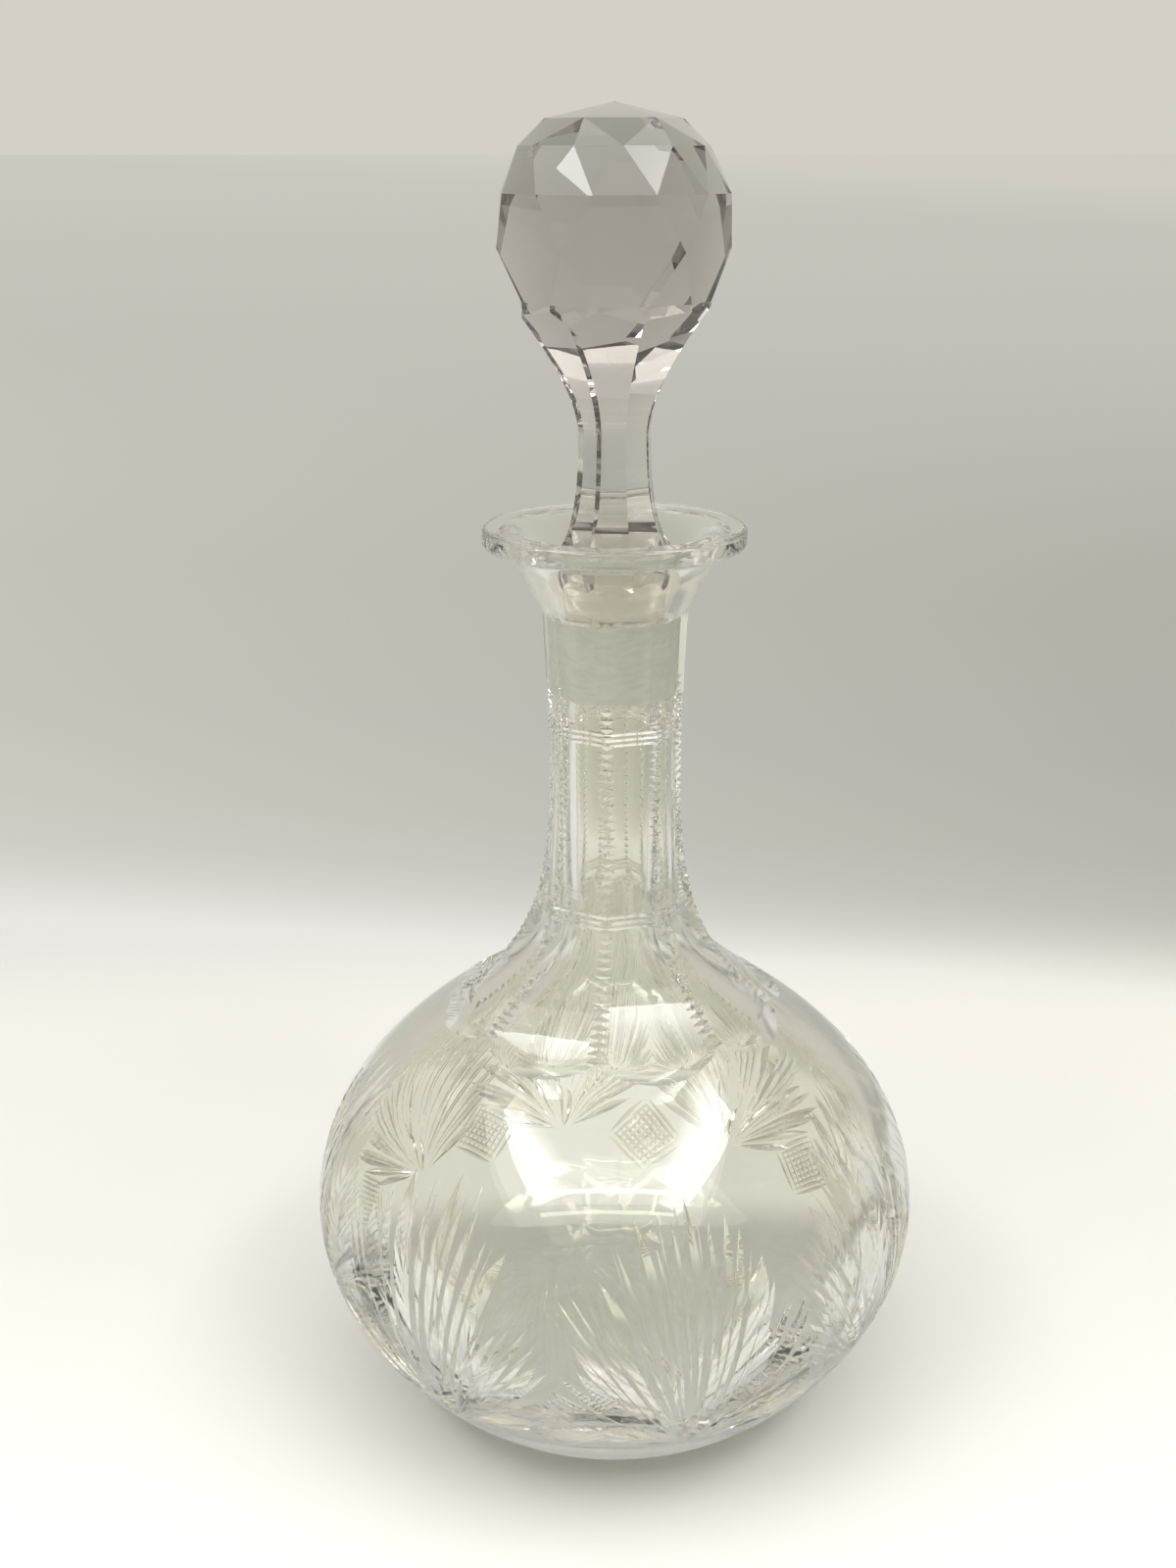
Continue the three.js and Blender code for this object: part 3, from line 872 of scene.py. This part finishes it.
def plug_object(material):
    """The tapered plug with its bevelled foot, and the round neck above it that runs into the shank."""
    profile = [
        (0.5 * PLUG_FOOT_RADIUS, PLUG_FOOT_HEIGHT),
        (PLUG_FOOT_RADIUS - PLUG_BEVEL, PLUG_FOOT_HEIGHT),
        (PLUG_FOOT_RADIUS - 0.15, PLUG_FOOT_HEIGHT + 0.2),
        (PLUG_FOOT_RADIUS, PLUG_FOOT_HEIGHT + PLUG_BEVEL),
    ]
    taper_height = PLUG_TOP_HEIGHT - PLUG_FOOT_HEIGHT - PLUG_BEVEL
    for share in np.linspace(0.1, 1, 10):
        radius = PLUG_FOOT_RADIUS + share * (PLUG_TOP_RADIUS - PLUG_FOOT_RADIUS)
        profile.append((radius, PLUG_FOOT_HEIGHT + PLUG_BEVEL + share * taper_height))
    profile += [tuple(p) for p in bezier(*PLUG_NECK_CURVE, 10)]
    azimuths = np.arange(PLUG_COLUMNS) / PLUG_COLUMNS * 2 * math.pi
    rows = [pole_row(PLUG_FOOT_HEIGHT)]
    rows += [around(radius, azimuths, height) for radius, height in profile]
    rows.append(pole_row(SHANK_FOOT_HEIGHT - SHANK_FOOT_SINK))
    return solid_from_rows("plug", rows, [material])


def make_stopper(material):
    """The ball and a column, trimmed to the shank's flat sides, on the plug."""
    stopper = hull_object("stopper_glass", ball_points(), material)
    combine(stopper, "UNION", [column_object(material)])
    combine(stopper, "INTERSECT", [flare_object(material)])
    combine(stopper, "UNION", [plug_object(material)])
    shade(stopper, STOPPER_SHARP_ANGLE)
    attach(stopper, "stopper")
    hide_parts("stopper")
    return stopper


# Floor, light and camera

FLOOR_HALF = 400
FLOOR_DROP = 0.0002
FLOOR_ROUGHNESS = 0.75
FLOOR_GLOSS = 0.2

# The floor's tone changes along rounded squares, stretched sideways. The share of the way out is half at the
# middle distance, in metres, and grows faster towards the right.
TONE_STRETCH = 1.7
TONE_POWER = 4.0
MIDDLE_DISTANCE = 0.5
TONE_LEAN = 0.11

# Each is a reach of a value, and the range of results that it turns into
# The first is painted light: the floor's tone grows up to a fifth brighter towards the camera, standing in for the
# lamps' stronger light there.
FRONT_PAINTED_LIGHT = ((-0.2, 0.04), (1.2, 1.0))
FOOT_SHADE = ((0.045, 0.07), (0.58, 0.98))
SIDE_SHADE = ((0.25, 0.42), (0.0, 0.36))
SIDE_SHADE_END = ((0.62, 0.85), (1.0, 0.2))
BACKDROP_START = ((0.16, 0.25), (0.0, 1.0))


def map_range(nodes, links, value, reach, result):
    """Turns a value's reach smoothly into a range of results."""
    node = nodes.new("ShaderNodeMapRange")
    node.interpolation_type = "SMOOTHSTEP"
    links.new(value, node.inputs["Value"])
    for socket, number in zip(("From Min", "From Max", "To Min", "To Max"), (*reach, *result)):
        node.inputs[socket].default_value = number
    return node.outputs["Result"]


def ray_kinds(nodes, links):
    """1 for the rays that come from the camera, and 1 for those that glass has turned."""
    rays = nodes.new("ShaderNodeLightPath")
    glossy, refracted = rays.outputs["Is Glossy Ray"], rays.outputs["Is Transmission Ray"]
    return rays.outputs["Is Camera Ray"], math_node(nodes, links, "MAXIMUM", glossy, refracted)


# The floor's colour at each share of the way out
FLOOR_TONES = (
    (0.0, (0.80, 0.795, 0.77)),
    (0.19, (0.785, 0.78, 0.755)),
    (0.30, (0.81, 0.80, 0.765)),
    (0.335, (0.66, 0.65, 0.60)),
    (0.36, (0.585, 0.58, 0.53)),
    (0.40, (0.54, 0.54, 0.485)),
    (0.48, (0.515, 0.51, 0.46)),
    (0.60, (0.505, 0.50, 0.445)),
    (0.78, (0.54, 0.525, 0.475)),
    (0.96, (0.59, 0.575, 0.52)),
    (1.0, (0.655, 0.63, 0.57)),
)


def make_floor():
    """A wide pale floor. Away from the carafe it turns into an evenly lit backdrop, a little greyer."""
    mesh = bpy.data.meshes.new("floor")
    corners = [(-1, -1), (1, -1), (1, 1), (-1, 1)]
    mesh.from_pydata([(x * FLOOR_HALF, y * FLOOR_HALF, -FLOOR_DROP) for x, y in corners], [], [(0, 1, 2, 3)])
    mesh.materials.append(floor_material())
    floor = bpy.data.objects.new("floor", mesh)
    bpy.context.scene.collection.objects.link(floor)


def floor_material():
    """Lit as a surface near the carafe, and with a light of its own further out and in the glass. Its tone carries
    painted light, brighter towards the camera.
    """
    material = bpy.data.materials.new("floor")
    material.use_nodes = True
    nodes = material.node_tree.nodes
    links = material.node_tree.links
    shader = nodes["Principled BSDF"]
    shader.inputs["Roughness"].default_value = FLOOR_ROUGHNESS
    shader.inputs["Specular IOR Level"].default_value = FLOOR_GLOSS
    split = nodes.new("ShaderNodeSeparateXYZ")
    links.new(nodes.new("ShaderNodeTexCoord").outputs["Object"], split.inputs["Vector"])
    distance, aside, share = floor_places(nodes, links, split)
    tone = nodes.new("ShaderNodeVectorMath")
    tone.operation = "SCALE"
    links.new(floor_ramp(nodes, links, share), tone.inputs[0])
    # Painted light: the tone, both where the floor is lit and where it glows, is scaled brighter towards the
    # camera.
    links.new(map_range(nodes, links, split.outputs["Y"], *FRONT_PAINTED_LIGHT), tone.inputs["Scale"])
    links.new(tone.outputs["Vector"], shader.inputs["Base Color"])
    glow = nodes.new("ShaderNodeEmission")
    links.new(tone.outputs["Vector"], glow.inputs["Color"])
    side_shade = math_node(nodes, links, "MULTIPLY", aside, map_range(nodes, links, share, *SIDE_SHADE))
    shade_end = map_range(nodes, links, share, *SIDE_SHADE_END)
    side_shade = math_node(nodes, links, "MULTIPLY", side_shade, shade_end)
    side_level = math_node(nodes, links, "SUBTRACT", 1.0, side_shade)
    foot_level = map_range(nodes, links, distance, *FOOT_SHADE)
    links.new(math_node(nodes, links, "MULTIPLY", foot_level, side_level), glow.inputs["Strength"])
    far = map_range(nodes, links, distance, *BACKDROP_START)
    direct, turned = ray_kinds(nodes, links)
    backdrop = math_node(nodes, links, "MULTIPLY", far, direct)
    blend = nodes.new("ShaderNodeMixShader")
    links.new(math_node(nodes, links, "MAXIMUM", backdrop, turned), blend.inputs["Fac"])
    links.new(shader.outputs["BSDF"], blend.inputs[1])
    links.new(glow.outputs["Emission"], blend.inputs[2])
    links.new(blend.outputs["Shader"], nodes["Material Output"].inputs["Surface"])
    return material


def floor_places(nodes, links, split):
    """A floor point's rounded distance, how far it lies aside as a share, and its share of the way out."""
    side = math_node(nodes, links, "MULTIPLY", split.outputs["X"], 1 / TONE_STRETCH)
    powers = []
    for value in (side, split.outputs["Y"]):
        length = math_node(nodes, links, "ABSOLUTE", value, 0.0)
        powers.append(math_node(nodes, links, "POWER", length, TONE_POWER))
    total = math_node(nodes, links, "ADD", *powers)
    distance = math_node(nodes, links, "POWER", total, 1 / TONE_POWER)
    reach = math_node(nodes, links, "ADD", distance, MIDDLE_DISTANCE)
    aside = math_node(nodes, links, "DIVIDE", split.outputs["X"], reach)
    share = math_node(nodes, links, "DIVIDE", distance, reach)
    lean = math_node(nodes, links, "MULTIPLY", aside, TONE_LEAN)
    return distance, aside, math_node(nodes, links, "ADD", share, lean)


def floor_ramp(nodes, links, share):
    """The floor's tone at a share of the way out."""
    ramp = nodes.new("ShaderNodeValToRGB")
    while len(ramp.color_ramp.elements) < len(FLOOR_TONES):
        ramp.color_ramp.elements.new(0.5)
    for element, (position, tone) in zip(ramp.color_ramp.elements, FLOOR_TONES):
        element.position = position
        element.color = (*tone, 1)
    links.new(share, ramp.inputs["Fac"])
    return ramp.outputs["Color"]


# The room's light from behind the camera and from behind the carafe, and what the camera itself sees of it
ROOM_COLOUR = (1.0, 0.962, 0.87, 1)
ROOM_REACH = (-0.6, 0.5)
ROOM_LEVELS = (0.46, 0.59)
SEEN_LEVEL = 0.655


def make_world():
    """A soft room that is pale behind the carafe and darker behind the camera."""
    world = bpy.data.worlds.new("room")
    bpy.context.scene.world = world
    world.use_nodes = True
    nodes = world.node_tree.nodes
    links = world.node_tree.links
    background = nodes["Background"]
    split = nodes.new("ShaderNodeSeparateXYZ")
    links.new(nodes.new("ShaderNodeTexCoord").outputs["Generated"], split.inputs["Vector"])
    ramp = nodes.new("ShaderNodeMapRange")
    for socket, number in zip(("From Min", "From Max", "To Min", "To Max"), (*ROOM_REACH, *ROOM_LEVELS)):
        ramp.inputs[socket].default_value = number
    links.new(split.outputs["Y"], ramp.inputs["Value"])
    rays = nodes.new("ShaderNodeLightPath")
    pick = nodes.new("ShaderNodeMix")
    pick.data_type = "FLOAT"
    pick.inputs["B"].default_value = SEEN_LEVEL
    links.new(rays.outputs["Is Camera Ray"], pick.inputs["Factor"])
    links.new(ramp.outputs["Result"], pick.inputs["A"])
    background.inputs["Color"].default_value = ROOM_COLOUR
    links.new(pick.outputs["Result"], background.inputs["Strength"])


LAMP_COLOUR = (1.0, 0.99, 0.965)

# Name, place, width, depth, turn in degrees, watts and fade: how fast the light grows along X and along Y, and its
# level at the origin
LAMPS = (
    ("ceiling", (-0.075, -0.4, 1.07), 1.75, 1.15, 0, 10.5, None),
    ("right_edge", (0.492, -0.375, 1.06), 0.40, 0.756, -22.2, 7.65, (5.0, -2.3, -2.8)),
    ("left_edge", (-0.5105, -0.364, 1.06), 0.38, 0.62, 14, 5.97, (-5.0, -3.0, -3.3)),
    ("front_edge", (-0.05, -0.82, 1.06), 1.15, 0.045, 0, 1.0, None),
)


def make_lamps():
    """A wide soft lamp above the carafe, which is brighter towards three of its edges."""
    for name, place, width, depth, turn, watts, fade in LAMPS:
        light = bpy.data.lights.new(name, "AREA")
        light.shape = "RECTANGLE"
        light.size = width
        light.size_y = depth
        light.energy = watts
        light.color = LAMP_COLOUR
        if fade:
            fade_light(light, fade)
        lamp = bpy.data.objects.new(name, light)
        bpy.context.scene.collection.objects.link(lamp)
        lamp.location = place
        lamp.rotation_euler = (0, 0, math.radians(turn))
        lamp.visible_camera = False


def fade_light(light, fade):
    """Makes a lamp's brightness grow evenly across it, up to all of its power."""
    light.use_nodes = True
    nodes = light.node_tree.nodes
    links = light.node_tree.links
    place = nodes.new("ShaderNodeNewGeometry")
    growth = nodes.new("ShaderNodeVectorMath")
    growth.operation = "DOT_PRODUCT"
    growth.inputs[1].default_value = (fade[0], fade[1], 0)
    links.new(place.outputs["Position"], growth.inputs[0])
    level = nodes.new("ShaderNodeMath")
    level.operation = "ADD"
    level.use_clamp = True
    level.inputs[1].default_value = fade[2]
    links.new(growth.outputs["Value"], level.inputs[0])
    links.new(level.outputs["Value"], nodes["Emission"].inputs["Strength"])


# A camera fitted to the photograph. Its shift is in shares of the picture's height.
CAMERA_PLACE = (0, -0.341, 0.2595)
CAMERA_PITCH = 19.67
CAMERA_LENS = 40.5
CAMERA_SENSOR = 36
CAMERA_SHIFT = -27.2 / 1600


def make_camera():
    data = bpy.data.cameras.new("camera")
    data.lens = CAMERA_LENS
    data.sensor_width = CAMERA_SENSOR
    data.shift_x = CAMERA_SHIFT
    camera = bpy.data.objects.new("camera", data)
    bpy.context.scene.collection.objects.link(camera)
    camera.location = CAMERA_PLACE
    camera.rotation_euler = (math.radians(90 - CAMERA_PITCH), 0, 0)
    bpy.context.scene.camera = camera


make_bottle(polished_glass(), cut_glass(), hatched_glass(), ground_glass())
make_stopper(stopper_glass())
make_floor()
make_world()
make_lamps()
make_camera()
bpy.context.scene.view_settings.view_transform = "Standard"

# Light turns many times in the cut glass
cycles = bpy.context.scene.cycles
cycles.max_bounces = 24
cycles.diffuse_bounces = 12
cycles.glossy_bounces = 16
cycles.transmission_bounces = 20

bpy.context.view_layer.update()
